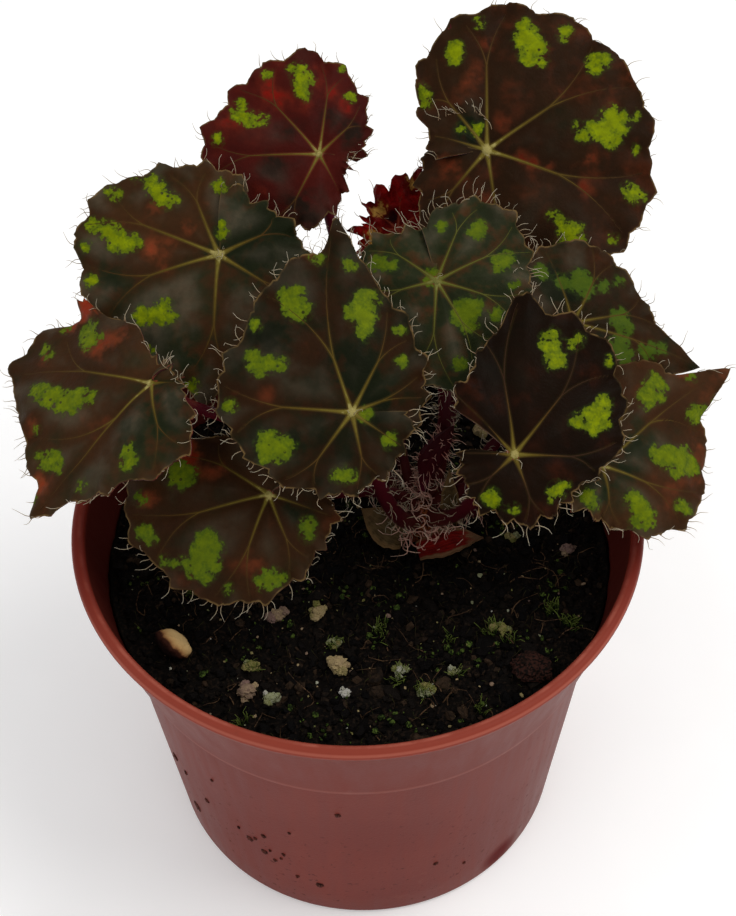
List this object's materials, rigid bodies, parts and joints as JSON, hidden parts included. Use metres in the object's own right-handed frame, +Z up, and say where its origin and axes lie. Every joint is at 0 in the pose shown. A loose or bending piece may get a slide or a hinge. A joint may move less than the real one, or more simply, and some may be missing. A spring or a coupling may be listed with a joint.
{
  "type": "potted little darling begonia",
  "caption": "Small begonia with rounded, toothed, lime-blotched dark leaves on hairy petioles, growing in soil in a flared terracotta-coloured plastic pot.",
  "frame": {"origin": "centre of the pot's flat underside", "axes": "+Z up, out of the pot; -Y towards the side the picture was taken from"},
  "size_m": [0.1227, 0.118, 0.1342],
  "materials": {
    "pot": "terracotta-red moulded plastic, satin, with a brighter lip",
    "soil": "near-black moist peat compost with perlite grains",
    "crown": "reddish brown short stem covered in pale curly hairs",
    "leaf": "dark brown-green leaf with lime blotches, olive veins and pale margin hairs, soft satin",
    "young_leaf": "crimson young leaf or bract, satin",
    "petiole": "dark maroon hairy leaf stalk",
    "stipule": "dry papery beige bract",
    "pebble": "tan stone, rough",
    "bark": "dark bark chip, rough"
  },
  "bodies": {
    "root": {"pot": "pot", "soil": "soil", "crown": "crown", "leaf_01_blade": "leaf", "leaf_01_petiole": "petiole", "leaf_02_blade": "leaf", "leaf_02_petiole": "petiole", "leaf_03_blade": "leaf", "leaf_03_petiole": "petiole", "leaf_04_blade": "leaf", "leaf_04_petiole": "petiole", "leaf_05_blade": "leaf", "leaf_05_petiole": "petiole", "leaf_06_blade": "leaf", "leaf_06_petiole": "petiole", "leaf_07_blade": "leaf", "leaf_07_petiole": "petiole", "leaf_08_blade": "leaf", "leaf_08_petiole": "petiole", "leaf_09_blade": "leaf", "leaf_09_petiole": "petiole", "leaf_10_blade": "leaf", "leaf_10_petiole": "petiole", "leaf_11_blade": "young_leaf", "leaf_11_petiole": "petiole", "furled_leaf_tall": "young_leaf", "furled_leaf_low": "young_leaf", "stipule_left": "stipule", "stipule_back": "stipule", "stipule_red": "young_leaf", "pebble": "pebble", "bark_chip": "bark"}
  },
  "joints": []
}
